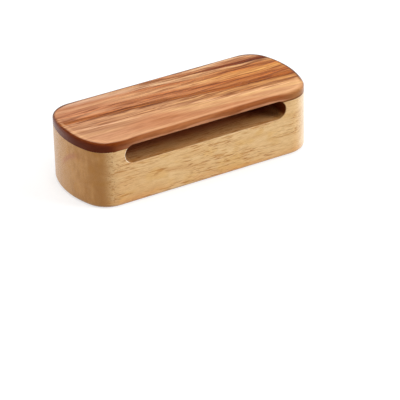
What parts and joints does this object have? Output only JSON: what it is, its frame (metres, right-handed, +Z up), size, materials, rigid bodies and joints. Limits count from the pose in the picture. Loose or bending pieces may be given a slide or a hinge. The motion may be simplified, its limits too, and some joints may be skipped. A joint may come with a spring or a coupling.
{
  "type": "wood block",
  "caption": "Hand percussion wood block: a hardwood body with a sound slot in its front, under a glued striking plate of darker striped wood.",
  "frame": {"origin": "centre of the base, on the surface that the block stands on", "axes": "+X along the block, +Z up through the striking plate, the sound slot opens towards -Y"},
  "size_m": [0.19, 0.076, 0.0505],
  "materials": {
    "body_wood": "pale straight-grained hardwood with short open pores, clear satin lacquer",
    "glue": "thin dark line of set wood glue, matt",
    "plate_wood": "dense reddish-brown hardwood with lengthwise light and dark stripes, clear satin lacquer"
  },
  "bodies": {
    "root": {"body_block": "body_wood", "glue_line": "glue", "sounding_plate": "plate_wood"}
  },
  "joints": []
}
